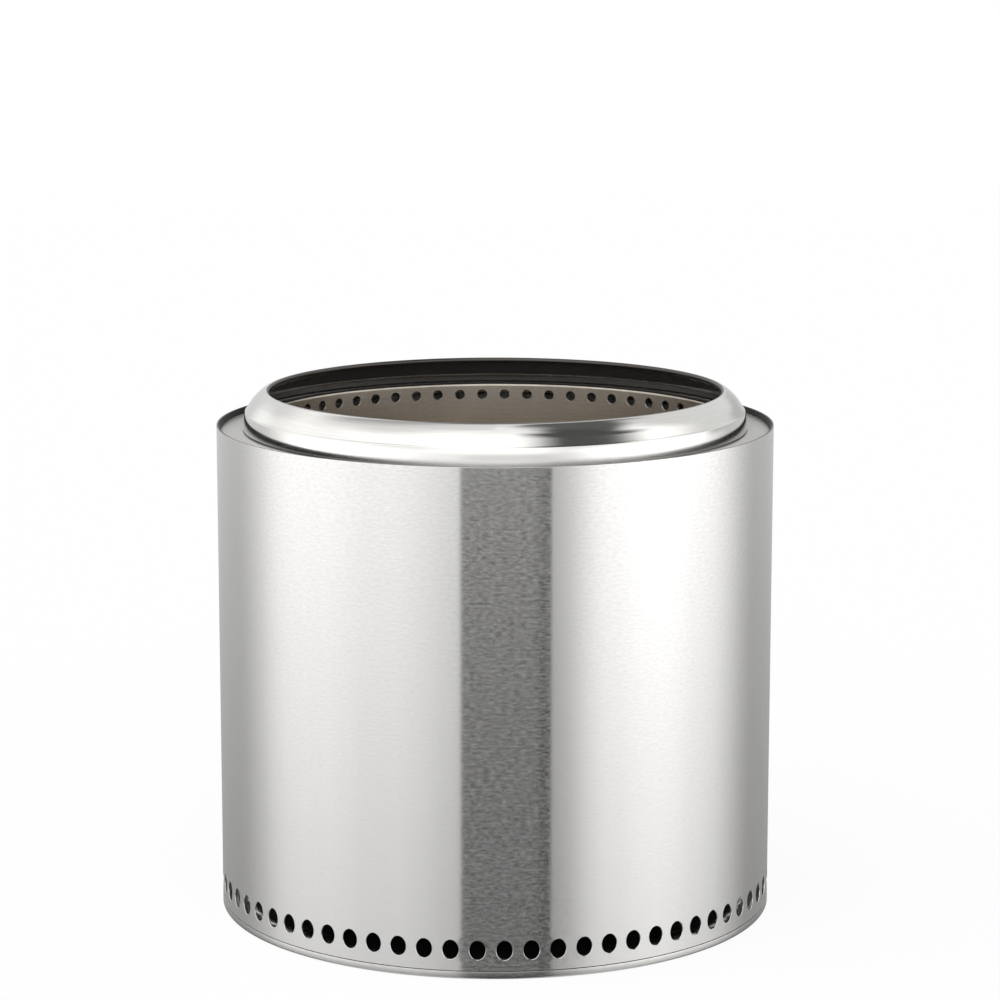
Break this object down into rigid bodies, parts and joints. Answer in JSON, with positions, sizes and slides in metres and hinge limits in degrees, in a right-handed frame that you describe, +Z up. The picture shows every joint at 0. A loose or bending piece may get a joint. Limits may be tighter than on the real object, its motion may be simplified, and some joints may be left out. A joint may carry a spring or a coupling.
{
  "type": "portable fire pit",
  "caption": "Portable double-walled steel fire pit: vented drum, sunk deck, loose flame ring, perforated grate and lift-out ash pan with a folding ring.",
  "frame": {"origin": "on the ground plane, at the drum's axis", "axes": "+Z up along the drum's axis, -Y towards the front of the picture, +X to its right"},
  "size_m": [0.381, 0.381, 0.3589],
  "materials": {
    "drum_steel": "stainless sheet, brushed round the drum",
    "base_steel": "stainless sheet, plain mill finish",
    "deck_steel": "stainless sheet, pressed and finely brushed",
    "ring_steel": "stainless sheet, spun and satin polished",
    "chamber_steel": "stainless sheet, brushed, tinted by heat",
    "pan_steel": "stainless sheet, dull pressed finish",
    "grate_steel": "steel plate, darkened by fire",
    "wire_steel": "bright stainless wire and rivets"
  },
  "bodies": {
    "drum": {"outer_wall": "drum_steel", "bottom_plate": "base_steel", "top_deck": "deck_steel", "inner_wall": "chamber_steel", "chamber_floor": "chamber_steel", "floor_bracket_1": "base_steel", "floor_bracket_2": "base_steel", "floor_bracket_3": "base_steel", "floor_bracket_4": "base_steel", "heat_shield": "base_steel", "shield_standoff_1": "base_steel", "shield_standoff_2": "base_steel", "shield_standoff_3": "base_steel"},
    "ash_pan": {"ash_pan": "pan_steel", "lift_ring_saddle": "pan_steel", "saddle_rivet_1": "wire_steel", "saddle_rivet_2": "wire_steel"},
    "pan_lift_ring": {"pan_lift_ring": "wire_steel"},
    "fire_grate": {"fire_grate": "grate_steel"},
    "flame_ring": {"flame_ring": "ring_steel"}
  },
  "joints": [
    {"name": "flame_ring_lift", "type": "slide", "parent": "drum", "child": "flame_ring", "axis": [0, 0, 1], "range_m": [0, 0.12]},
    {"name": "ash_pan_lift", "type": "slide", "parent": "drum", "child": "ash_pan", "axis": [0, 0, 1], "range_m": [0, 0.42]},
    {"name": "fire_grate_lift", "type": "slide", "parent": "ash_pan", "child": "fire_grate", "axis": [0, 0, 1], "range_m": [0, 0.4]},
    {"name": "pan_ring_fold", "type": "hinge", "parent": "ash_pan", "child": "pan_lift_ring", "pos_m": [0, 0, 0.0228], "axis": [-1, 0, 0], "range_deg": [0, 180]}
  ]
}
